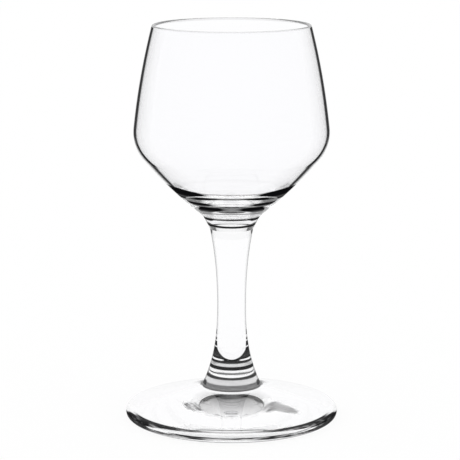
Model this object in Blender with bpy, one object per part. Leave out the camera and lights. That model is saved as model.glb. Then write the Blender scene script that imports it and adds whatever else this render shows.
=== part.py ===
# Stemmed vodka glass: bowl, stem and foot, three turned pieces of clear glass on one vertical axis.
# Metres, +Z up. The foot rests on the plane z = 0 and the axis is the Z axis.

import math

import bpy

# Foot
FOOT_RADIUS = 0.02925
FOOT_EDGE_RADIUS = 0.0014  # the edge is a full round
FOOT_HEIGHT = 0.0088  # up to the seat that the stem stands on
FOOT_COLLAR = 0.0006  # the seat's own height above the cone of the foot
FOOT_FILLET = 0.0012  # reach of the hollow curve between cone and seat
FOOT_RING_WIDTH = 0.0020  # flat ring that touches the table
FOOT_HOLLOW_DEPTH = 0.0012  # underside, at its middle

# Stem
STEM_LENGTH = 0.0432
STEM_SEAT_RADIUS = 0.0079  # shared with the seat on the foot
STEM_WAIST_RADIUS = 0.00393
STEM_WAIST_HEIGHT = 0.0219  # above the stem's lower end
STEM_LOWER_FLARE = 2.5  # power of the curve below the waist
STEM_UPPER_FLARE = 2.2  # power of the curve above the waist

# Bowl, heights measured from its own lower end
BOWL_HEIGHT = 0.0554
BOWL_SEAT_RADIUS = 0.0059  # shared with the top of the stem
BOWL_NECK_HEIGHT = 0.0036
BOWL_NECK_RADIUS = 0.0079
BOWL_NECK_BLEND = 0.0007  # reach of the soft corner where neck and cone meet
BOWL_BELLY_RADIUS = 0.02657
BOWL_BELLY_HEIGHT = 0.0265
BOWL_SHOULDER_RADIUS = 0.0115  # tight arc at the belly
BOWL_CONE_ARC = 0.110  # wide arc from neck to shoulder
BOWL_SIDE_ARC = 0.190  # wide arc from shoulder to rim
BOWL_RIM_RADIUS = 0.0215
BOWL_WALL = 0.0010
BOWL_WELL_HEIGHT = 0.0092  # inside, at its lowest point
BOWL_WELL_RADIUS = 0.045  # dish of the inside bottom
BOWL_WELL_CORNER = 0.0025  # round between side and bottom inside

# Between pieces that sit face to face
JOINT_GAP = 0.0003

# Facets
TURN_STEPS = 48
CURVE_STEPS = 8
CORNER_STEPS = 4
STEM_STEPS = 12

GLASS_COLOUR = (0.95, 0.96, 0.97, 1.0)
GLASS_ROUGHNESS = 0.02
GLASS_IOR = 1.52


def clear_scene():
    for thing in list(bpy.data.objects):
        bpy.data.objects.remove(thing, do_unlink=True)


def between(start, end, share):
    return tuple(a + (b - a) * share for a, b in zip(start, end))


def arc(centre, start, end, steps):
    # Points from start to end round the centre, the short way, both ends included
    radius = math.dist(centre, start)
    first = math.atan2(start[1] - centre[1], start[0] - centre[0])
    last = math.atan2(end[1] - centre[1], end[0] - centre[0])
    turn = (last - first + math.pi) % (2 * math.pi) - math.pi
    angles = [first + turn * i / steps for i in range(steps + 1)]
    return [(centre[0] + radius * math.cos(a), centre[1] + radius * math.sin(a)) for a in angles]


def soft_corner(start, corner, end, steps):
    # A parabola that leaves start and reaches end along the two lines through the corner
    points = []
    for i in range(steps + 1):
        share = i / steps
        points.append(between(between(start, corner, share), between(corner, end, share), share))
    return points


def meeting_point(centre_a, radius_a, centre_b, radius_b, side):
    # Where two circles cross: side +1 is to the left of the way from a to b, -1 to the right
    span = math.dist(centre_a, centre_b)
    along = (radius_a**2 - radius_b**2 + span**2) / (2 * span)
    across = side * math.sqrt(radius_a**2 - along**2)
    unit = ((centre_b[0] - centre_a[0]) / span, (centre_b[1] - centre_a[1]) / span)
    return (
        centre_a[0] + unit[0] * along - unit[1] * across,
        centre_a[1] + unit[1] * along + unit[0] * across,
    )


def towards(start, target, reach):
    return between(start, target, reach / math.dist(start, target))


def touch_point(centre, inner_centre, radius):
    # Where a circle touches a smaller one that lies inside it
    return towards(centre, inner_centre, radius)


def turn_profile(name, points, parent, height):
    # A profile of (radius, height) points that runs down its outer side, turned about Z
    mesh = bpy.data.meshes.new(name)
    edges = [(i, i + 1) for i in range(len(points) - 1)]
    mesh.from_pydata([(radius, 0.0, level) for radius, level in points], edges, [])
    piece = bpy.data.objects.new(name, mesh)
    bpy.context.collection.objects.link(piece)
    piece.parent = parent
    piece.location.z = height
    turn = piece.modifiers.new("turn", "SCREW")
    turn.axis = "Z"
    turn.angle = 2 * math.pi
    turn.steps = TURN_STEPS
    turn.render_steps = TURN_STEPS
    turn.use_merge_vertices = True
    turn.merge_threshold = 0.00001
    turn.use_smooth_shade = True
    return piece


def glass_material(name):
    material = bpy.data.materials.new(name)
    material.use_nodes = True
    shader = material.node_tree.nodes["Principled BSDF"]
    shader.inputs["Base Color"].default_value = GLASS_COLOUR
    shader.inputs["Roughness"].default_value = GLASS_ROUGHNESS
    shader.inputs["Metallic"].default_value = 0.0
    shader.inputs["IOR"].default_value = GLASS_IOR
    shader.inputs["Transmission Weight"].default_value = 1.0
    return material


def foot_profile():
    # Seat, hollow fillet, cone, round edge, flat ring, then the shallow hollow underneath
    edge_centre = (FOOT_RADIUS - FOOT_EDGE_RADIUS, FOOT_EDGE_RADIUS)
    seat_edge = (STEM_SEAT_RADIUS, FOOT_HEIGHT)
    collar_foot = (STEM_SEAT_RADIUS, FOOT_HEIGHT - FOOT_COLLAR)

    # The cone of the foot leaves the collar and touches the round edge
    span = math.dist(collar_foot, edge_centre)
    dip = math.atan2(edge_centre[1] - collar_foot[1], edge_centre[0] - collar_foot[0])
    slope = dip + math.asin(FOOT_EDGE_RADIUS / span)
    normal = (-math.sin(slope), math.cos(slope))
    edge_top = tuple(c + FOOT_EDGE_RADIUS * n for c, n in zip(edge_centre, normal))
    edge_side = (FOOT_RADIUS, FOOT_EDGE_RADIUS)
    edge_bottom = (edge_centre[0], 0.0)

    ring_inner = (edge_centre[0] - FOOT_RING_WIDTH, 0.0)
    hollow_radius = (ring_inner[0] ** 2 + FOOT_HOLLOW_DEPTH**2) / (2 * FOOT_HOLLOW_DEPTH)
    hollow_top = (0.0, FOOT_HOLLOW_DEPTH)
    hollow_centre = (0.0, FOOT_HOLLOW_DEPTH - hollow_radius)

    fillet_end = towards(collar_foot, edge_top, FOOT_FILLET)
    points = [(0.0, FOOT_HEIGHT)]
    points += soft_corner(seat_edge, collar_foot, fillet_end, CORNER_STEPS)
    points += arc(edge_centre, edge_top, edge_side, CORNER_STEPS)
    points += arc(edge_centre, edge_side, edge_bottom, CORNER_STEPS)[1:]
    points += arc(hollow_centre, ring_inner, hollow_top, CURVE_STEPS)
    return points


def stem_profile():
    # Two power curves that leave the waist upright and swell to the seats at both ends
    points = [(0.0, STEM_LENGTH)]
    upper_reach = STEM_LENGTH - STEM_WAIST_HEIGHT
    for i in range(STEM_STEPS + 1):
        share = 1 - i / STEM_STEPS
        swell = (BOWL_SEAT_RADIUS - STEM_WAIST_RADIUS) * share**STEM_UPPER_FLARE
        points.append((STEM_WAIST_RADIUS + swell, STEM_WAIST_HEIGHT + upper_reach * share))
    for i in range(1, STEM_STEPS + 1):
        share = i / STEM_STEPS
        swell = (STEM_SEAT_RADIUS - STEM_WAIST_RADIUS) * share**STEM_LOWER_FLARE
        points.append((STEM_WAIST_RADIUS + swell, STEM_WAIST_HEIGHT * (1 - share)))
    points.append((0.0, 0.0))
    return points


def bowl_profile():
    # Outside: neck, wide cone arc, tight shoulder arc, wide side arc. Inside: the same arcs, one
    # wall further in, then a rounded corner and a dished bottom that leaves a heavy base.
    rim_round = BOWL_WALL / 2
    rim = (BOWL_RIM_RADIUS - rim_round, BOWL_HEIGHT - rim_round)
    rim_crest = (rim[0], BOWL_HEIGHT)
    neck = (BOWL_NECK_RADIUS, BOWL_NECK_HEIGHT)
    seat_edge = (BOWL_SEAT_RADIUS, 0.0)
    shoulder = (BOWL_BELLY_RADIUS - BOWL_SHOULDER_RADIUS, BOWL_BELLY_HEIGHT)

    # Centres of the two wide arcs: both touch the shoulder arc, one also touches the rim's round
    # and the other passes through the top of the neck
    side = meeting_point(
        shoulder, BOWL_SIDE_ARC - BOWL_SHOULDER_RADIUS, rim, BOWL_SIDE_ARC - rim_round, 1
    )
    cone = meeting_point(shoulder, BOWL_CONE_ARC - BOWL_SHOULDER_RADIUS, neck, BOWL_CONE_ARC, -1)
    rim_outside = touch_point(side, rim, BOWL_SIDE_ARC)
    side_joint = touch_point(side, shoulder, BOWL_SIDE_ARC)
    cone_joint = touch_point(cone, shoulder, BOWL_CONE_ARC)

    # The same joints one wall further in
    rim_inside = touch_point(side, rim, BOWL_SIDE_ARC - BOWL_WALL)
    inner_side_joint = touch_point(side, shoulder, BOWL_SIDE_ARC - BOWL_WALL)
    inner_cone_joint = touch_point(cone, shoulder, BOWL_CONE_ARC - BOWL_WALL)

    # The corner circle lies inside both the inner cone arc and the dish
    dish = (0.0, BOWL_WELL_HEIGHT + BOWL_WELL_RADIUS)
    inner_cone_arc = BOWL_CONE_ARC - BOWL_WALL
    corner = meeting_point(
        cone, inner_cone_arc - BOWL_WELL_CORNER, dish, BOWL_WELL_RADIUS - BOWL_WELL_CORNER, -1
    )
    corner_side = touch_point(cone, corner, inner_cone_arc)
    corner_bottom = touch_point(dish, corner, BOWL_WELL_RADIUS)

    cone_points = arc(cone, cone_joint, neck, CURVE_STEPS)
    neck_start = towards(neck, cone_points[-2], BOWL_NECK_BLEND)
    neck_end = towards(neck, seat_edge, BOWL_NECK_BLEND)

    points = arc(dish, (0.0, BOWL_WELL_HEIGHT), corner_bottom, CURVE_STEPS)
    points += arc(corner, corner_bottom, corner_side, CORNER_STEPS)[1:]
    points += arc(cone, corner_side, inner_cone_joint, CURVE_STEPS)[1:]
    points += arc(shoulder, inner_cone_joint, inner_side_joint, CURVE_STEPS)[1:]
    points += arc(side, inner_side_joint, rim_inside, CURVE_STEPS)[1:]
    points += arc(rim, rim_inside, rim_crest, CORNER_STEPS)[1:]
    points += arc(rim, rim_crest, rim_outside, CORNER_STEPS)[1:]
    points += arc(side, rim_outside, side_joint, CURVE_STEPS)[1:]
    points += arc(shoulder, side_joint, cone_joint, CURVE_STEPS)[1:]
    points += cone_points[1:-1]
    points += soft_corner(neck_start, neck, neck_end, CORNER_STEPS)
    points += [seat_edge, (0.0, 0.0)]
    return points


def main():
    clear_scene()
    axis = bpy.data.objects.new("glass_axis", None)
    bpy.context.collection.objects.link(axis)

    stem_base = FOOT_HEIGHT + JOINT_GAP
    bowl_base = stem_base + STEM_LENGTH + JOINT_GAP
    pieces = [
        turn_profile("foot", foot_profile(), axis, 0.0),
        turn_profile("stem", stem_profile(), axis, stem_base),
        turn_profile("bowl", bowl_profile(), axis, bowl_base),
    ]
    for piece in pieces:
        piece.data.materials.append(glass_material(piece.name + "_clear_glass"))


main()
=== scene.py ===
import math

import bpy
import numpy as np
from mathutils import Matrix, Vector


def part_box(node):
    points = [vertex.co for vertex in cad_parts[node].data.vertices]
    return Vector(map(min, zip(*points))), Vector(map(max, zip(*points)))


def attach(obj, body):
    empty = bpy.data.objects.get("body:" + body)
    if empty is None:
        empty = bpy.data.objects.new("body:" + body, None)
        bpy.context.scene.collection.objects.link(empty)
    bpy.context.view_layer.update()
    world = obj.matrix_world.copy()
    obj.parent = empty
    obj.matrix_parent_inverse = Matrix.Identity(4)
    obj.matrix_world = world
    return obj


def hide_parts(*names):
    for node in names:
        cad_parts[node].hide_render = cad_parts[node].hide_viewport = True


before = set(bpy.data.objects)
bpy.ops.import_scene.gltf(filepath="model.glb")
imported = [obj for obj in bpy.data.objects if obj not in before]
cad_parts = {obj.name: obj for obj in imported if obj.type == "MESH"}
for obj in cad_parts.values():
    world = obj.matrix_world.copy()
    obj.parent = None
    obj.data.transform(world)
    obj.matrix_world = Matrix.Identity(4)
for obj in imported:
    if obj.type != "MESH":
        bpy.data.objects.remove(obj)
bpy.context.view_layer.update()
print("frame: nodes", sorted(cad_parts))

millimetre = 0.001  # in metres


# Shared helpers

def linearColour(hexText):
    # sRGB hex to linear red, green, blue and an alpha of 1
    shares = np.array([int(hexText[i:i + 2], 16) for i in (1, 3, 5)]) / 255
    linear = np.where(shares <= 0.04045, shares / 12.92, ((shares + 0.055) / 1.055) ** 2.4)
    return (*linear.tolist(), 1.0)


white = linearColour("#FFFFFF")


def addNode(tree, kind, inputs=None, **settings):
    # one node, with its settings, its input values and the links into it
    node = tree.nodes.new(kind)
    for key, value in settings.items():
        setattr(node, key, value)
    for key, value in (inputs or {}).items():
        if isinstance(value, bpy.types.NodeSocket):
            tree.links.new(value, node.inputs[key])
        else:
            node.inputs[key].default_value = value
    return node


def setStops(ramp, stops):
    # colour stops of a ramp, in rising order of place
    elements = ramp.color_ramp.elements
    elements[0].position, elements[0].color = stops[0]
    elements[1].position, elements[1].color = stops[-1]
    for place, colour in stops[1:-1]:
        elements.new(place).color = colour


def newMaterial(name):
    # a material with an empty node tree
    material = bpy.data.materials.new(name)
    material.use_nodes = True
    material.node_tree.nodes.clear()
    return material, material.node_tree


def perMetre(sizeMm):
    # noise scale that gives features of this size on Object coordinates
    return 1 / (sizeMm * millimetre)


# Profiles: arrays of (radius, height) points

def arcPoints(centre, start, end, count):
    # circle round the centre from start to end, the short way
    centre, start, end = np.array(centre), np.array(start), np.array(end)
    first = math.atan2(*(start - centre)[::-1])
    last = math.atan2(*(end - centre)[::-1])
    turn = (last - first + math.pi) % (2 * math.pi) - math.pi
    angles = first + turn * np.linspace(0, 1, count)
    return centre + np.hypot(*(start - centre)) * np.stack([np.cos(angles), np.sin(angles)], 1)


def bendPoints(start, corner, end, count):
    # parabola that leaves start and reaches end along the two lines through the corner
    start, corner, end = np.array(start), np.array(corner), np.array(end)
    share = np.linspace(0, 1, count)[:, None]
    return (1 - share) ** 2 * start + 2 * share * (1 - share) * corner + share ** 2 * end


def circlesMeet(centreA, radiusA, centreB, radiusB, side):
    # crossing of two circles: side +1 is left of the way from A to B, -1 is right
    centreA, centreB = np.array(centreA), np.array(centreB)
    span = np.hypot(*(centreB - centreA))
    along = (radiusA ** 2 - radiusB ** 2 + span ** 2) / (2 * span)
    across = side * math.sqrt(radiusA ** 2 - along ** 2)
    unit = (centreB - centreA) / span
    return centreA + unit * along + np.array([-unit[1], unit[0]]) * across


def towards(start, target, reach):
    # the point at this reach from start, on the line through the target
    start, target = np.array(start), np.array(target)
    return start + (target - start) * reach / np.hypot(*(target - start))


# Turned pieces. Hand-made glass is never quite round: the radius swells by slow waves round the axis
turning = {
    "around": 256, "creaseAngle": 50,
    "swayShare": 0.0012, "waves": (2, 3, 5), "twist": (40.0, -65.0, 90.0),
}


def swayed(radius, height, angle):
    # radius times 1 plus a sum of sine waves whose phase drifts with the height
    pairs = zip(turning["waves"], turning["twist"])
    waves = [np.sin(count * angle + twist * height + count) / count for count, twist in pairs]
    return radius * (1 + turning["swayShare"] * sum(waves))


def turnedPiece(name, stretches, materials):
    # each stretch is (points, slot): a profile that starts and ends on the axis and runs down its outer side.
    # Surface: point(i, a) = (r(i) cos a, r(i) sin a, z(i)), a full turn in a, closed by a fan at both poles
    around = turning["around"]
    points = np.concatenate([p if i == 0 else p[1:] for i, (p, _) in enumerate(stretches)])
    slots = np.concatenate([np.full(len(p) - 1, slot) for p, slot in stretches])
    angle = np.linspace(0, 2 * math.pi, around, endpoint=False)[None, :]
    ringZ = np.repeat(points[1:-1, 1:], around, 1)
    ringR = swayed(points[1:-1, :1], ringZ, angle)
    grid = np.stack([ringR * np.cos(angle), ringR * np.sin(angle), ringZ], -1).reshape(-1, 3)
    poles = np.array([[0, 0, points[0, 1]], [0, 0, points[-1, 1]]])
    index = np.arange(len(grid)).reshape(-1, around)
    turned = np.roll(index, -1, 1)
    quads = np.stack([index[:-1], index[1:], turned[1:], turned[:-1]], -1).reshape(-1, 4)
    topFan = np.stack([np.full(around, len(grid)), index[0], turned[0]], -1)
    lowFan = np.stack([np.full(around, len(grid) + 1), turned[-1], index[-1]], -1)
    faces = quads.tolist() + topFan.tolist() + lowFan.tolist()
    mesh = bpy.data.meshes.new(name)
    mesh.from_pydata(np.vstack([grid, poles]).tolist(), [], faces)
    fanSlots = np.repeat(slots[[0, -1]], around)
    faceSlots = np.concatenate([np.repeat(slots[1:-1], around), fanSlots])
    mesh.polygons.foreach_set("material_index", faceSlots.astype(np.int32))
    mesh.shade_smooth()
    mesh.set_sharp_from_angle(angle=math.radians(turning["creaseAngle"]))
    for material in materials:
        mesh.materials.append(material)
    piece = bpy.data.objects.new(name, mesh)
    bpy.context.collection.objects.link(piece)
    print(name, len(mesh.vertices), "points", len(mesh.polygons), "faces")
    return piece


# Shade of the glass. A band row is (mm, depth, start, full, out, gone): at that height or radius the glass
# darkens from the start to the full value of facing and clears again from out to gone, 0 being face on and 1
# edge on
alwaysDark = (0.0, 1e-6)  # start and full of a band that is dark even face on


def sameView(window, *corners):
    # band rows at these (mm, depth) corners, which share one window of start, full, out and gone
    return [(*corner, *window) for corner in corners]


def glassView(tree, place):
    # what the shades go by: the place, how edge on the glass is, its height and its distance from the axis
    level = addNode(tree, "ShaderNodeVectorMath", {0: place, 1: (1, 1, 0)}, operation="MULTIPLY")
    reach = addNode(tree, "ShaderNodeVectorMath", {0: level.outputs[0]}, operation="LENGTH")
    return {
        "place": place,
        "facing": addNode(tree, "ShaderNodeLayerWeight", {"Blend": 0.5}).outputs["Facing"],
        "height": addNode(tree, "ShaderNodeSeparateXYZ", {0: place}).outputs["Z"],
        "radius": reach.outputs["Value"],
    }


def levelsOver(tree, value, levels, unit=1.0):
    # grey level over a value, straight between the (corner, level) pairs, whose corners are in this unit
    low, high = levels[0][0], levels[-1][0]
    share = addNode(tree, "ShaderNodeMapRange", {
        "Value": value, "From Min": low * unit, "From Max": high * unit})
    ramp = addNode(tree, "ShaderNodeValToRGB", {"Fac": share.outputs[0]})
    setStops(ramp, [((corner - low) / (high - low), (level, level, level, 1)) for corner, level in levels])
    return ramp.outputs["Color"]


def bandsOver(tree, span, facing, bands):
    # dark bands over a height or radius: two ramps hold the numbers of the rows as their colours, and two
    # smooth steps in facing take the shade up to its depth and down again
    low, high = bands[0][0], bands[-1][0]
    share = addNode(tree, "ShaderNodeMapRange", {
        "Value": span, "From Min": low * millimetre, "From Max": high * millimetre})
    limits = []
    for first in (1, 3):
        ramp = addNode(tree, "ShaderNodeValToRGB", {"Fac": share.outputs[0]})
        setStops(ramp, [((row[0] - low) / (high - low), (*row[first:first + 3], 1)) for row in bands])
        limits += addNode(tree, "ShaderNodeSeparateColor", {"Color": ramp.outputs["Color"]}).outputs
    depth, start, _, full, out, gone = limits
    dark = addNode(tree, "ShaderNodeMapRange", {
        "Value": facing, "From Min": start, "From Max": full, "To Max": depth},
        interpolation_type="SMOOTHSTEP")
    return addNode(tree, "ShaderNodeMapRange", {
        "Value": facing, "From Min": out, "From Max": gone, "To Min": dark.outputs[0], "To Max": 0.0},
        interpolation_type="SMOOTHSTEP").outputs[0]


def darkest(tree, shades):
    # the greatest of the shades, place by place
    dark = shades[0]
    for shade in shades[1:]:
        dark = addNode(tree, "ShaderNodeMath", {0: dark, 1: shade}, operation="MAXIMUM").outputs[0]
    return dark


# Soda-lime glass, fire polished: clear with a breath of lilac, no grain, only slow ripples left by the mould.
# Thick glass sends part of the view into the unlit corners of the room, and the eye sees that as dark edges
# and rings. They are painted on here as shade, in the dark colour, by height, by radius and by how edge on the
# glass is: "entering" is the painted shade that light meets on its way in, "leaving" the one that it meets
# from inside. Glass with painted shade has no gloss
glassFinish = {
    "ior": 1.52, "tint": "#FEFEFF", "dark": "#060608", "gloss": 0.5, "glossEnds": 0.02,
    "rippleMm": 9.0, "rippleDepth": 0.000004,
    "smearMm": 14.0, "smears": (0.45, 0.75), "roughness": (0.0, 0.012),
}


def firePolishedGlass(name, entering=None, leaving=None):
    finish = glassFinish
    material, tree = newMaterial(name)
    place = addNode(tree, "ShaderNodeTexCoord").outputs["Object"]
    ripple = addNode(tree, "ShaderNodeTexNoise", {
        "Vector": place, "Scale": perMetre(finish["rippleMm"]), "Detail": 1.0})
    bump = addNode(tree, "ShaderNodeBump", {
        "Height": ripple.outputs["Fac"], "Strength": 1.0, "Distance": finish["rippleDepth"]})
    smear = addNode(tree, "ShaderNodeTexNoise", {
        "Vector": place, "Scale": perMetre(finish["smearMm"]), "Detail": 3.0})
    clean, smeared = finish["smears"]
    smooth, dull = finish["roughness"]
    rough = addNode(tree, "ShaderNodeMapRange", {
        "Value": smear.outputs["Fac"], "From Min": clean, "From Max": smeared,
        "To Min": smooth, "To Max": dull})
    tint = linearColour(finish["tint"])
    inputs = {"Base Color": tint, "Roughness": rough.outputs[0], "IOR": finish["ior"],
              "Transmission Weight": 1.0, "Normal": bump.outputs["Normal"]}
    # painted shade: the dark colour is mixed into the glass by the shade, which lets that much less light
    # through and takes the gloss away
    if entering or leaving:
        view = glassView(tree, place)
        dark = addNode(tree, "ShaderNodeMix", {
            "Factor": addNode(tree, "ShaderNodeNewGeometry").outputs["Backfacing"],
            "A": entering(tree, view) if entering else 0.0,
            "B": leaving(tree, view) if leaving else 0.0}).outputs["Result"]
        inputs["Base Color"] = addNode(tree, "ShaderNodeMix", {
            "Factor": dark, "A": tint, "B": linearColour(finish["dark"])}, data_type="RGBA").outputs["Result"]
        inputs["Transmission Weight"] = addNode(tree, "ShaderNodeMath", {
            0: 1.0, 1: dark}, operation="SUBTRACT").outputs[0]
        inputs["Specular IOR Level"] = addNode(tree, "ShaderNodeMapRange", {
            "Value": dark, "From Max": finish["glossEnds"],
            "To Min": finish["gloss"], "To Max": 0.0}).outputs[0]
    glass = addNode(tree, "ShaderNodeBsdfPrincipled", inputs)
    addNode(tree, "ShaderNodeOutputMaterial", {"Surface": glass.outputs[0]})
    return material


# Hot-fused joint: glass runs through from piece to piece, so light passes the seam straight on
def fusedSeam(name, seamShade=None):
    # painted shade on the seam dims light that climbs out of the foot into the stem: over all of the seam by a
    # level for each slant, stirred by a cloud, and darker in a painted ring round its edge. The grey eye in
    # the foot is its image
    material, tree = newMaterial(name)
    inputs = {"Color": white}
    if seamShade:
        place = addNode(tree, "ShaderNodeTexCoord").outputs["Object"]
        view = glassView(tree, place)
        cloud = addNode(tree, "ShaderNodeTexNoise", {
            "Vector": place, "Scale": perMetre(seamShade["cloudMm"]), "Detail": 2.0}).outputs["Fac"]
        slant = addNode(tree, "ShaderNodeMath", {
            0: cloud, 1: seamShade["cloud"], 2: view["facing"]}, operation="MULTIPLY_ADD").outputs[0]
        levels = [(facing + seamShade["cloud"] / 2, level) for facing, level in seamShade["levels"]]
        dim = addNode(tree, "ShaderNodeMix", {
            "Factor": bandsOver(tree, view["radius"], slant, seamShade["darkRing"]),
            "A": levelsOver(tree, slant, levels), "B": 0.0}).outputs["Result"]
        inputs["Color"] = addNode(tree, "ShaderNodeMix", {
            "Factor": addNode(tree, "ShaderNodeNewGeometry").outputs["Backfacing"], "A": 1.0,
            "B": dim}).outputs["Result"]
    clear = addNode(tree, "ShaderNodeBsdfTransparent", inputs)
    addNode(tree, "ShaderNodeOutputMaterial", {"Surface": clear.outputs[0]})
    return material


# Where the pieces meet: halfway in the gap that the solids keep
bowlLow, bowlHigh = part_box("bowl")
stemLow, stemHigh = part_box("stem")
_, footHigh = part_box("foot")
bowlSeat = (bowlLow.z + stemHigh.z) / 2
footSeat = (stemLow.z + footHigh.z) / 2
seamGap = 0.00001  # the two faces of a seam stay this far apart, so that light meets both
seam = fusedSeam("fusedSeam")
print("seams at heights", bowlSeat, footSeat)


# Bowl: sizes in metres, the painted shade of edges and rim as (facing, level), its shares as (height mm,
# level), bands of painted shade as rows by height and the painted rings under the well as rows by radius
bowlMake = {
    "wall": 0.0010, "rimRadius": 0.0215, "bellyHeight": 0.0265, "shoulderArc": 0.0115, "sideArc": 0.190,
    "coneArc": 0.110, "neckRadius": 0.0079, "neckHeight": 0.0036, "neckBlend": 0.0007, "seatRadius": 0.0059,
    "wellHeight": 0.0092, "wellArc": 0.045, "wellCorner": 0.0025, "arcSteps": 40, "cornerSteps": 16,
    "edge": [
        (0.0, 0.0), (0.42, 0.02), (0.54, 0.12), (0.61, 0.21), (0.66, 0.27), (0.7, 0.35), (0.73, 0.45),
        (0.77, 0.97), (0.88, 0.98), (1.0, 0.35)],
    "coneEdge": [
        (0.0, 0.0), (0.46, 0.04), (0.57, 0.15), (0.64, 0.24), (0.7, 0.36), (0.72, 0.46), (0.745, 0.97),
        (0.79, 0.975), (0.84, 0.68), (0.88, 0.32), (1.0, 0.1)],
    "edgeShare": [(52, 0.4), (61.8, 0.4), (63.6, 1.0), (109, 1.0)],
    "coneShare": [(52, 1.0), (72, 1.0), (78.5, 0.0), (109, 0.0)],
    "rim": [(0.0, 0.14), (0.5, 0.3), (0.8, 0.4), (1.0, 0.45)],
    "bands": [
        *sameView((*alwaysDark, 0.85, 1.0), (53.45, 0.0), (53.65, 0.998), (54.05, 0.99)),
        (54.2, 0.95, 0.2, 0.4, 0.85, 1.0), (54.6, 0.9, 0.55, 0.65, 0.85, 1.0),
        (55.1, 0.0, 0.58, 0.66, 0.9, 1.0), (55.25, 0.0, 0.5, 0.56, 0.9, 1.0),
        (55.45, 0.9, 0.45, 0.51, 0.9, 1.0), (55.7, 0.998, 0.42, 0.465, 0.9, 1.0),
        (56.1, 0.99, 0.43, 0.475, 0.9, 1.0), (56.3, 0.75, 0.52, 0.58, 0.85, 1.0),
        (56.6, 0.35, 0.58, 0.66, 0.85, 1.0), (57.3, 0.35, 0.58, 0.66, 0.85, 1.0),
        (57.7, 0.65, 0.57, 0.63, 0.8, 0.9), (58.3, 0.68, 0.56, 0.62, 0.75, 0.8),
        (58.6, 0.88, 0.55, 0.61, 0.75, 0.79), (58.9, 0.96, 0.52, 0.575, 0.74, 0.78),
        (59.3, 0.998, 0.46, 0.52, 0.72, 0.76), (60.2, 0.998, 0.44, 0.51, 0.64, 0.72),
        (60.35, 0.85, 0.46, 0.53, 0.74, 0.8), (60.55, 0.9, 0.5, 0.62, 0.75, 0.82),
        (60.75, 0.998, 0.47, 0.56, 0.76, 0.84), (61.0, 0.998, 0.46, 0.55, 0.78, 0.86),
        (61.45, 0.99, 0.47, 0.56, 0.78, 0.86), (61.65, 0.8, 0.54, 0.61, 0.76, 0.85),
        (62.3, 0.75, 0.53, 0.58, 0.75, 0.85), (62.5, 0.95, 0.53, 0.59, 0.7, 0.76),
        (62.7, 0.998, 0.49, 0.53, 0.66, 0.7), (62.95, 0.998, 0.45, 0.49, 0.61, 0.645),
        (63.2, 0.998, 0.43, 0.465, 0.58, 0.615), (63.4, 0.97, 0.43, 0.47, 0.54, 0.58),
        (63.55, 0.0, 0.43, 0.47, 0.53, 0.56)],
    "wedge": [
        (61.9, 0.0, 0.77, 0.82, 0.88, 0.98), (62.1, 0.99, 0.74, 0.78, 0.88, 0.98),
        (62.6, 0.99, 0.7, 0.745, 0.88, 0.98), (62.95, 0.93, 0.67, 0.71, 0.88, 0.98),
        (63.33, 0.99, 0.605, 0.645, 0.88, 0.98), (63.6, 0.998, 0.55, 0.59, 0.88, 0.98),
        (63.85, 0.998, 0.5, 0.54, 0.88, 0.98), (64.15, 0.998, 0.46, 0.515, 0.88, 0.98),
        (64.6, 0.998, 0.465, 0.525, 0.88, 0.98), (65.0, 0.998, 0.515, 0.565, 0.88, 0.98),
        (65.3, 0.998, 0.58, 0.625, 0.88, 0.98), (65.65, 0.998, 0.65, 0.71, 0.88, 0.98),
        (65.95, 0.0, 0.72, 0.78, 0.88, 0.98)],
    "shoulder": [
        (69.0, 0.0, 0.69, 0.735, 0.78, 0.9), (71.5, 0.985, 0.69, 0.73, 0.78, 0.92),
        (73.5, 0.99, 0.69, 0.73, 0.78, 0.92), (75.2, 0.99, 0.71, 0.75, 0.79, 0.95),
        (76.8, 0.985, 0.72, 0.76, 0.82, 1.0), (79.5, 0.0, 0.74, 0.78, 0.85, 1.0)],
    "farBands": sameView((0.4, 0.45, 0.6, 0.68), (57.4, 0.0), (57.9, 0.99), (61.2, 0.99), (61.7, 0.0)),
    "wellRings": [
        *sameView((*alwaysDark, 0.77, 0.82), (0.0, 0.97), (1.5, 0.975)),
        (2.2, 0.985, *alwaysDark, 0.76, 0.81), (2.8, 0.88, *alwaysDark, 0.71, 0.76),
        *sameView(
            (*alwaysDark, 0.69, 0.74),
            (3.6, 0.94), (5.6, 0.95), (5.9, 0.995), (7.0, 0.995), (7.3, 0.0),
            (8.9, 0.0), (9.1, 0.35), (9.6, 0.35), (9.8, 0.0),
            (12.65, 0.0), (12.8, 0.985), (14.0, 0.985), (14.2, 0.0),
            (15.6, 0.0), (15.9, 0.5), (16.3, 0.5), (16.5, 0.0))],
}


def shadeWall(tree, view):
    # painted shade: dark towards the edge, by one curve for the cone and another for the side, under the
    # painted bands of the thick base, the wedge above it and the line along the shoulder
    facing, height = view["facing"], view["height"]
    edge = addNode(tree, "ShaderNodeMix", {
        "Factor": levelsOver(tree, height, bowlMake["coneShare"], millimetre),
        "A": levelsOver(tree, facing, bowlMake["edge"]),
        "B": levelsOver(tree, facing, bowlMake["coneEdge"])}).outputs["Result"]
    edgeShare = levelsOver(tree, height, bowlMake["edgeShare"], millimetre)
    edge = addNode(tree, "ShaderNodeMath", {0: edge, 1: edgeShare}, operation="MULTIPLY").outputs[0]
    bands = [bandsOver(tree, height, facing, bowlMake[key]) for key in ("bands", "wedge", "shoulder")]
    return darkest(tree, [edge, *bands])


def shadeFarWall(tree, view):
    # painted shade on the far wall of the base, met from inside at a slant
    return bandsOver(tree, view["height"], view["facing"], bowlMake["farBands"])


def shadeWell(tree, view):
    # the underside of the well mirrors what is below it, and that is painted on it as shade in rings by
    # radius:
    # they are the level lines in the base
    return bandsOver(tree, view["radius"], view["facing"], bowlMake["wellRings"])


def shadeRim(tree, view):
    # painted shade on the thin round lip: a little grey, more so towards its edges
    return levelsOver(tree, view["facing"], bowlMake["rim"])


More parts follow.
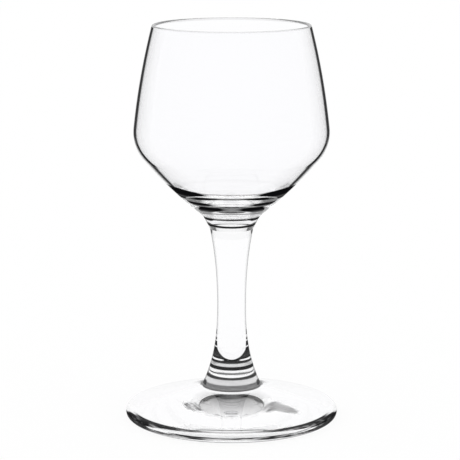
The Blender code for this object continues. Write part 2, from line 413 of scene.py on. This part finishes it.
def bowlStretches(s):
    # inside: dish, corner, cone arc, shoulder arc, side arc. Rim: half a circle. Outside: the same arcs one
    # wall further out, then the neck. Every arc touches the next one. Slots: wall, lining, seam, rim
    wall, lining, joint, lip = range(4)
    base, height = bowlLow.z, bowlHigh.z
    rimRound = s["wall"] / 2
    rim = np.array([s["rimRadius"] - rimRound, height - rimRound])
    neck = np.array([s["neckRadius"], base + s["neckHeight"]])
    seat = bowlSeat + seamGap / 2
    seatEdge = np.array([s["seatRadius"], seat])
    shoulder = np.array([bowlHigh.x - s["shoulderArc"], base + s["bellyHeight"]])
    side = circlesMeet(shoulder, s["sideArc"] - s["shoulderArc"], rim, s["sideArc"] - rimRound, 1)
    cone = circlesMeet(shoulder, s["coneArc"] - s["shoulderArc"], neck, s["coneArc"], -1)
    dish = np.array([0, base + s["wellHeight"] + s["wellArc"]])
    innerCone, innerSide = s["coneArc"] - s["wall"], s["sideArc"] - s["wall"]
    corner = circlesMeet(cone, innerCone - s["wellCorner"], dish, s["wellArc"] - s["wellCorner"], -1)
    dishEnd, cornerEnd = towards(dish, corner, s["wellArc"]), towards(cone, corner, innerCone)
    innerLow, innerHigh = towards(cone, shoulder, innerCone), towards(side, shoulder, innerSide)
    outerHigh, outerLow = towards(side, shoulder, s["sideArc"]), towards(cone, shoulder, s["coneArc"])
    rimIn, rimOut = towards(side, rim, innerSide), towards(side, rim, s["sideArc"])
    crest = rim + (0, rimRound)
    steps, few = s["arcSteps"], s["cornerSteps"]
    coneOut = arcPoints(cone, outerLow, neck, 2 * steps)
    coneOut = coneOut[np.hypot(*(coneOut - neck).T) > s["neckBlend"]]
    bendEnd = towards(neck, seatEdge, s["neckBlend"])
    inside = [
        (arcPoints(dish, (0, base + s["wellHeight"]), dishEnd, steps), lining),
        (arcPoints(corner, dishEnd, cornerEnd, few), lining),
        (arcPoints(cone, cornerEnd, innerLow, steps), lining),
        (arcPoints(shoulder, innerLow, innerHigh, steps), lining),
        (arcPoints(side, innerHigh, rimIn, steps), lining),
        (arcPoints(rim, rimIn, crest, few), lip),
    ]
    outside = [
        (arcPoints(rim, crest, rimOut, few), lip),
        (arcPoints(side, rimOut, outerHigh, steps), wall),
        (arcPoints(shoulder, outerHigh, outerLow, steps), wall),
        (coneOut, wall),
        (bendPoints(coneOut[-1], neck, bendEnd, few), wall),
        (np.vstack([bendEnd, seatEdge]), wall),
        (np.vstack([seatEdge, (0, seat)]), joint),
    ]
    return inside + outside


wallGlass = firePolishedGlass("sodaLimeWallOutside", entering=shadeWall, leaving=shadeFarWall)
liningGlass = firePolishedGlass("sodaLimeWallInside", leaving=shadeWell)
rimGlass = firePolishedGlass("sodaLimeRimFlamedPaintedShade", entering=shadeRim)
bowl = turnedPiece("bowl_blown", bowlStretches(bowlMake), [wallGlass, liningGlass, seam, rimGlass])
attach(bowl, "root")
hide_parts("bowl")


# Stem: sizes in metres, the painted shade of the edge as (facing, level) and bands of painted shade as rows by
# height
stemMake = {
    "waistRadius": 0.00393, "waistHeight": 0.0219, "topRadius": 0.0059, "lowRadius": 0.0079,
    "upperFlare": 2.2, "lowerFlare": 2.5, "steps": 96,
    "edge": [(0.0, 0.0), (0.5, 0.0), (0.7, 0.4), (0.85, 0.7), (1.0, 0.8)],
    "lowBands": [
        *sameView(
            (*alwaysDark, 0.85, 1.0),
            (9.0, 0.8), (9.8, 0.84), (10.1, 0.36), (11.25, 0.36), (11.35, 0.93), (11.95, 0.95)),
        (12.1, 0.9, 0.1, 0.4, 0.85, 1.0), (12.4, 0.85, 0.5, 0.8, 0.85, 1.0), (12.8, 0.0, 0.5, 0.8, 0.85, 1.0),
        *sameView((*alwaysDark, 0.1, 0.4), (12.9, 0.0), (13.0, 0.72), (13.2, 0.72), (13.3, 0.0)),
        *sameView(
            (*alwaysDark, 0.85, 1.0),
            (13.75, 0.0), (13.9, 0.975), (14.7, 0.975), (14.85, 0.36), (15.5, 0.36),
            (15.65, 0.95), (16.2, 0.97)),
        *sameView((*alwaysDark, 0.06, 0.14), (16.3, 0.97), (16.68, 0.985)),
        (16.75, 0.985, *alwaysDark, 0.8, 0.9)],
    "highBands": [
        (16.75, 0.985, *alwaysDark, 0.8, 0.9), (17.0, 0.97, 0.02, 0.05, 0.8, 0.9),
        (17.5, 0.95, 0.09, 0.14, 0.8, 0.9), (18.0, 0.96, 0.16, 0.22, 0.8, 0.9),
        (18.5, 0.97, 0.24, 0.31, 0.8, 0.9), (19.0, 0.98, 0.33, 0.4, 0.8, 0.9),
        (19.55, 0.98, 0.4, 0.46, 0.85, 0.95), (19.65, 0.1, 0.4, 0.46, 0.85, 0.95),
        (19.85, 0.1, 0.42, 0.48, 0.85, 0.95), (19.95, 0.985, 0.42, 0.48, 0.85, 0.95),
        (21.15, 0.985, 0.49, 0.55, 0.85, 0.95), (21.27, 0.1, 0.5, 0.56, 0.85, 0.95),
        (21.48, 0.1, 0.52, 0.58, 0.88, 0.97), (21.6, 0.98, 0.53, 0.59, 0.88, 0.97),
        (22.0, 0.96, 0.56, 0.62, 0.9, 1.0), (22.35, 0.6, 0.58, 0.64, 0.9, 1.0),
        (22.5, 0.2, 0.6, 0.68, 0.92, 1.0), (22.8, 0.2, 0.6, 0.7, 0.95, 1.0),
        (23.0, 0.93, 0.62, 0.7, 0.95, 1.0), (24.2, 0.93, 0.64, 0.72, 0.95, 1.0),
        (24.7, 0.3, 0.66, 0.76, 0.95, 1.0), (25.5, 0.0, 0.7, 0.8, 0.95, 1.0)],
    "topBands": [
        (50.2, 0.0, 0.75, 0.9, 0.95, 1.0), (51.4, 0.94, 0.6, 0.74, 0.95, 1.0),
        (52.45, 0.9, 0.5, 0.66, 0.95, 1.0)],
    "sideBands": [
        (8.9, 0.94, 0.3, 0.55, 0.9, 1.0), (9.8, 0.94, 0.38, 0.58, 0.9, 1.0),
        (10.2, 0.9, 0.5, 0.62, 0.9, 1.0), (10.4, 0.0, 0.5, 0.62, 0.9, 1.0)],
}


def shadeStem(tree, view):
    # painted shade: dark towards the edge, under the painted rings of its flared low end and the dark sides of
    # both ends. The rings are in two tables, for below and above one height, because a ramp holds only so many
    # stops
    facing, height = view["facing"], view["height"]
    change = stemMake["highBands"][0][0] * millimetre
    upper = addNode(tree, "ShaderNodeMath", {0: height, 1: change}, operation="GREATER_THAN")
    rings = addNode(tree, "ShaderNodeMix", {
        "Factor": upper.outputs[0], "A": bandsOver(tree, height, facing, stemMake["lowBands"]),
        "B": bandsOver(tree, height, facing, stemMake["highBands"])}).outputs["Result"]
    sides = [bandsOver(tree, height, facing, stemMake[key]) for key in ("sideBands", "topBands")]
    return darkest(tree, [rings, levelsOver(tree, facing, stemMake["edge"]), *sides])


def stemStretches(s):
    # radius = waist + (end - waist) * share ** power, the share running from the waist to each end.
    # Slots: side, seam
    side, joint = range(2)
    waist = stemLow.z + s["waistHeight"]
    upper = np.linspace(1, 0, s["steps"])
    lower = np.linspace(0, 1, s["steps"])[1:]
    upperR = s["waistRadius"] + (s["topRadius"] - s["waistRadius"]) * upper ** s["upperFlare"]
    lowerR = s["waistRadius"] + (s["lowRadius"] - s["waistRadius"]) * lower ** s["lowerFlare"]
    top, low = bowlSeat - seamGap / 2, footSeat + seamGap / 2
    upperZ = waist + (top - waist) * upper
    lowerZ = waist + (low - waist) * lower
    rod = np.stack([np.concatenate([upperR, lowerR]), np.concatenate([upperZ, lowerZ])], 1)
    return [(np.vstack([(0, top), rod[0]]), joint), (rod, side), (np.vstack([rod[-1], (0, low)]), joint)]


stemGlass = firePolishedGlass("sodaLimeStemDrawn", entering=shadeStem)
stem = turnedPiece("stem_drawn", stemStretches(stemMake), [stemGlass, seam])
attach(stem, "root")
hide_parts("stem")


# Foot: sizes in metres, painted shade bands as rows by height, graze and streak light as (facing, level),
# painted shade rings round the seat as (radius mm, level). A patch of painted shade is an oval, and its lines
# are how often streaks cross it in x and y. The painted shade of the eye lies on the seam
footMake = {
    "edgeRound": 0.0014, "seatRadius": 0.0079, "collar": 0.0006, "fillet": 0.0012, "ringWidth": 0.0020,
    "hollowDepth": 0.0012, "arcSteps": 48, "cornerSteps": 16,
    "topBands": [
        *sameView((0.43, 0.5, 0.62, 0.68), (2.7, 0.97), (2.87, 0.97), (2.94, 0.0)),
        (6.2, 0.0, 0.86, 0.94, 0.99, 1.0), (7.0, 0.35, 0.85, 0.93, 0.99, 1.0),
        (7.6, 0.75, 0.82, 0.9, 0.99, 1.0), (8.05, 0.82, 0.76, 0.83, 0.99, 1.0),
        (8.28, 0.82, 0.7, 0.78, 0.95, 1.0),
        *sameView((*alwaysDark, 0.9, 1.0), (8.3, 0.0), (8.38, 0.9), (8.55, 0.9), (8.62, 0.8), (9.0, 0.8))],
    "graze": [(0.0, 0.0), (0.8, 0.0), (0.93, 0.1), (1.0, 0.2)],
    # painted shade round the seat, seen from inside the foot: rings by radius, then oval patches of streaks
    "seatShadeRings": [
        (7.8, 0.95), (8.0, 0.95), (8.1, 0.05), (8.4, 0.4), (8.65, 0.04), (8.9, 0.34), (9.2, 0.03),
        (9.5, 0.24), (9.8, 0.02), (10.1, 0.14), (10.6, 0.0)],
    "shadePatches": [
        {"centreMm": (-9.6, -1.6), "halfMm": (3.0, 4.4), "turn": 30, "lines": (6.5, 0.5), "depth": 0.9},
        {"centreMm": (10.2, -1.8), "halfMm": (2.8, 4.8), "turn": -20, "lines": (6.5, 0.5), "depth": 0.9},
        {"centreMm": (13.2, -2.8), "halfMm": (6.6, 2.8), "turn": -36, "lines": (0.5, 7.0), "depth": 0.95}],
    "patchStreaks": (0.44, 0.56), "patchPale": 0.4, "patchSoft": 0.6,
    "edgeBands": [
        (0.0, 0.0, 0.8, 0.95, 0.88, 0.99),
        *sameView((0.3, 0.5, 0.88, 0.99), (0.2, 0.0), (0.3, 0.65), (0.52, 0.7)),
        (0.62, 0.97, 0.64, 0.72, 0.88, 0.99), (0.72, 0.95, 0.46, 0.52, 0.88, 0.99),
        (0.8, 0.95, 0.3, 0.36, 0.88, 0.99), (0.9, 0.97, 0.2, 0.25, 0.88, 0.99),
        (1.1, 0.98, 0.13, 0.17, 0.88, 0.99), (1.3, 0.97, 0.08, 0.12, 0.88, 0.99),
        (1.38, 0.95, 0.22, 0.3, 0.88, 0.99), (1.45, 0.97, 0.36, 0.42, 0.88, 0.99),
        (1.7, 0.98, 0.36, 0.42, 0.88, 0.99), (1.85, 0.99, 0.28, 0.33, 0.78, 0.92),
        (2.0, 0.99, 0.26, 0.31, 0.74, 0.88), (2.15, 0.99, 0.22, 0.27, 0.7, 0.8),
        (2.3, 0.98, 0.19, 0.24, 0.67, 0.75), (2.45, 0.98, 0.2, 0.25, 0.65, 0.71),
        (2.6, 0.98, 0.27, 0.3, 0.62, 0.68), (2.7, 0.96, 0.37, 0.4, 0.6, 0.66),
        (2.745, 0.95, 0.43, 0.46, 0.6, 0.66),
        *sameView((0.44, 0.5, 0.6, 0.66), (2.775, 0.95), (2.9, 0.95))],
    "frontBands": [
        *sameView((*alwaysDark, 0.16, 0.24), (1.22, 0.0), (1.32, 0.99), (1.7, 0.995)),
        *sameView((*alwaysDark, 0.08, 0.16), (1.78, 0.27), (2.3, 0.27), (2.4, 0.0))],
    "streakMm": (4.5, 0.4), "streaks": (0.5, 0.62),
    "streakLight": [(0.0, 0.75), (0.3, 0.6), (0.5, 0.88), (0.62, 1.0), (1.0, 1.0)],
    # painted shade on the seam, which makes the grey eye in the foot
    "seamShade": {
        "cloudMm": 4.0, "cloud": 0.02,
        "levels": [
            (0.0, 0.95), (0.25, 0.95), (0.27, 0.9), (0.28, 0.78), (0.29, 0.68), (0.3, 0.55), (0.31, 0.42),
            (0.32, 0.3), (0.328, 0.12), (0.333, 0.07), (0.337, 0.3), (0.341, 0.85), (0.4, 0.9), (1.0, 0.95)],
        # a darker painted ring round the edge of the seam
        "darkRing": [
            (6.0, 0.0, 0.31, 0.32, 0.345, 0.37), (6.8, 0.85, 0.305, 0.315, 0.345, 0.37),
            (8.0, 0.85, 0.3, 0.31, 0.345, 0.37)],
    },
}


def shadeFootTop(tree, view):
    # painted shade: rings at the brink and round the collar, and a little where the slope is seen at a graze
    bands = bandsOver(tree, view["height"], view["facing"], footMake["topBands"])
    return darkest(tree, [bands, levelsOver(tree, view["facing"], footMake["graze"])])


def shadeRoundSeat(tree, view):
    # painted shade round the seat, seen from inside the foot: the dark inner face of the collar, fine rings,
    # and oval patches of streaks. A patch fades from its soft line, a share of the way out, to its outline
    seatShades = [levelsOver(tree, view["radius"], footMake["seatShadeRings"], millimetre)]
    pale, deep = footMake["patchStreaks"]
    for patch in footMake["shadePatches"]:
        x, y = (size * millimetre for size in patch["centreMm"])
        wide, long = (size * millimetre for size in patch["halfMm"])
        oval = addNode(tree, "ShaderNodeMapping", {
            "Vector": view["place"], "Location": (x, y, 0), "Rotation": (0, 0, math.radians(patch["turn"])),
            "Scale": (wide, long, 1)}, vector_type="TEXTURE").outputs[0]
        reach = addNode(tree, "ShaderNodeVectorMath", {0: oval}, operation="LENGTH").outputs["Value"]
        drawn = addNode(tree, "ShaderNodeVectorMath", {0: oval, 1: (*patch["lines"], 0)}, operation="MULTIPLY")
        noise = addNode(tree, "ShaderNodeTexNoise", {"Vector": drawn.outputs[0], "Scale": 1.0, "Detail": 1.0})
        streaks = addNode(tree, "ShaderNodeMapRange", {
            "Value": noise.outputs["Fac"], "From Min": pale, "From Max": deep,
            "To Min": footMake["patchPale"] * patch["depth"], "To Max": patch["depth"]})
        seatShades.append(addNode(tree, "ShaderNodeMapRange", {
            "Value": reach, "From Min": footMake["patchSoft"], "From Max": 1.0, "To Min": streaks.outputs[0],
            "To Max": 0.0}, interpolation_type="SMOOTHSTEP").outputs[0])
    return darkest(tree, seatShades)


def shadeFootEdge(tree, view):
    # bands of painted shade broken up by light streaks: noise drawn out along the edge
    facing, height = view["facing"], view["height"]
    along, over = (perMetre(size) for size in footMake["streakMm"])
    drawn = addNode(tree, "ShaderNodeVectorMath", {
        0: view["place"], 1: (along, along, over)}, operation="MULTIPLY")
    noise = addNode(tree, "ShaderNodeTexNoise", {"Vector": drawn.outputs[0], "Scale": 1.0, "Detail": 2.0})
    low, high = footMake["streaks"]
    streaks = addNode(tree, "ShaderNodeMapRange", {
        "Value": noise.outputs["Fac"], "From Min": low, "From Max": high, "To Min": 1.0,
        "To Max": levelsOver(tree, facing, footMake["streakLight"])})
    bands = [bandsOver(tree, height, facing, footMake[key]) for key in ("edgeBands", "frontBands")]
    return addNode(tree, "ShaderNodeMath", {
        0: darkest(tree, bands), 1: streaks.outputs[0]}, operation="MULTIPLY").outputs[0]


def footStretches(s):
    # seat, hollow fillet, cone that touches the round edge, flat resting ring, shallow hollow arc underneath.
    # Slots: top, side, underside, seam
    top, side, under, joint = range(4)
    edge = np.array([footHigh.x - s["edgeRound"], s["edgeRound"]])
    seat = footSeat - seamGap / 2
    seatEdge = np.array([s["seatRadius"], seat])
    collarFoot = np.array([s["seatRadius"], footHigh.z - s["collar"]])
    dip = edge - collarFoot
    slope = math.atan2(dip[1], dip[0]) + math.asin(s["edgeRound"] / np.hypot(*dip))
    edgeTop = edge + s["edgeRound"] * np.array([-math.sin(slope), math.cos(slope)])
    edgeSide, edgeLow = edge + (s["edgeRound"], 0), edge - (0, s["edgeRound"])
    ringIn = edgeLow - (s["ringWidth"], 0)
    hollowTop = np.array([0, s["hollowDepth"]])
    hollowArc = (ringIn[0] ** 2 + s["hollowDepth"] ** 2) / (2 * s["hollowDepth"])
    filletEnd = towards(collarFoot, edgeTop, s["fillet"])
    slopeShare = np.linspace(0, 1, s["arcSteps"])[:, None]
    return [
        (np.vstack([(0, seat), seatEdge]), joint),
        (bendPoints(seatEdge, collarFoot, filletEnd, s["cornerSteps"]), top),
        (filletEnd + (edgeTop - filletEnd) * slopeShare, top),
        (arcPoints(edge, edgeTop, edgeSide, s["cornerSteps"]), side),
        (arcPoints(edge, edgeSide, edgeLow, s["cornerSteps"]), side),
        (np.vstack([edgeLow, ringIn]), under),
        (arcPoints(hollowTop - (0, hollowArc), ringIn, hollowTop, s["arcSteps"]), under),
    ]


footTopGlass = firePolishedGlass("sodaLimeFootTop", entering=shadeFootTop, leaving=shadeRoundSeat)
footEdgeGlass = firePolishedGlass("sodaLimeFootEdge", entering=shadeFootEdge)
footUnderGlass = firePolishedGlass("sodaLimeFootUnder")
# the seam under the stem carries the painted shade of the eye
footSeam = fusedSeam("fusedSeamFoot", footMake["seamShade"])
footGlasses = [footTopGlass, footEdgeGlass, footUnderGlass, footSeam]
foot = turnedPiece("foot_pressed", footStretches(footMake), footGlasses)
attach(foot, "root")
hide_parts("foot")


# Floor, light and camera. The lens follows from the focus in pixels of the photo
studio = {
    "floorRadius": 2.0, "floorSteps": 128, "floorGlow": 0.9, "floorDrop": 0.0002, "light": 1.0, "bounces": 48,
    "cameraPlace": (-0.00043, -0.53503, 0.15757), "cameraDip": 11.17, "sensorMm": 36,
    "focusPixels": 1997.3, "imagePixels": 460,
}


def paleFloor(s):
    # a wide disc; part of its white is its own glow, so the shadow under the glass stays faint
    steps = s["floorSteps"]
    angle = np.linspace(0, 2 * math.pi, steps, endpoint=False)
    ring = np.stack([np.cos(angle), np.sin(angle), np.zeros(steps)], 1) * s["floorRadius"]
    ring[:, 2] = -s["floorDrop"]
    mesh = bpy.data.meshes.new("floor")
    mesh.from_pydata(ring.tolist(), [], [tuple(range(steps))])
    floor = bpy.data.objects.new("floor", mesh)
    bpy.context.collection.objects.link(floor)
    material, tree = newMaterial("paleFloor")
    matt = addNode(tree, "ShaderNodeBsdfDiffuse", {"Color": white})
    glow = addNode(tree, "ShaderNodeEmission", {"Color": white, "Strength": s["light"]})
    both = addNode(tree, "ShaderNodeMixShader", {0: s["floorGlow"], 1: matt.outputs[0], 2: glow.outputs[0]})
    addNode(tree, "ShaderNodeOutputMaterial", {"Surface": both.outputs[0]})
    mesh.materials.append(material)


def whiteDome(s):
    # white all round, as in a light tent
    world = bpy.data.worlds.new("whiteDome")
    world.use_nodes = True
    tree = world.node_tree
    tree.nodes.clear()
    sky = addNode(tree, "ShaderNodeBackground", {"Color": white, "Strength": s["light"]})
    addNode(tree, "ShaderNodeOutputWorld", {"Surface": sky.outputs[0]})
    bpy.context.scene.world = world


def photoCamera(s):
    # focal length = focus in pixels times the sensor's width over the image's width
    lens = bpy.data.cameras.new("photoCamera")
    lens.sensor_fit = "HORIZONTAL"
    lens.sensor_width = s["sensorMm"]
    lens.lens = s["focusPixels"] * s["sensorMm"] / s["imagePixels"]
    camera = bpy.data.objects.new("photoCamera", lens)
    camera.location = s["cameraPlace"]
    camera.rotation_euler = (math.radians(90 - s["cameraDip"]), 0, 0)
    bpy.context.collection.objects.link(camera)
    bpy.context.scene.camera = camera


paleFloor(studio)
whiteDome(studio)
photoCamera(studio)
scene = bpy.context.scene
scene.view_settings.view_transform = "Standard"
# light passes many glass faces in the thick base, so these limits are high
scene.cycles.max_bounces = studio["bounces"]
scene.cycles.transmission_bounces = studio["bounces"]
scene.cycles.glossy_bounces = studio["bounces"]
scene.cycles.transparent_max_bounces = studio["bounces"]
print("studio ready")
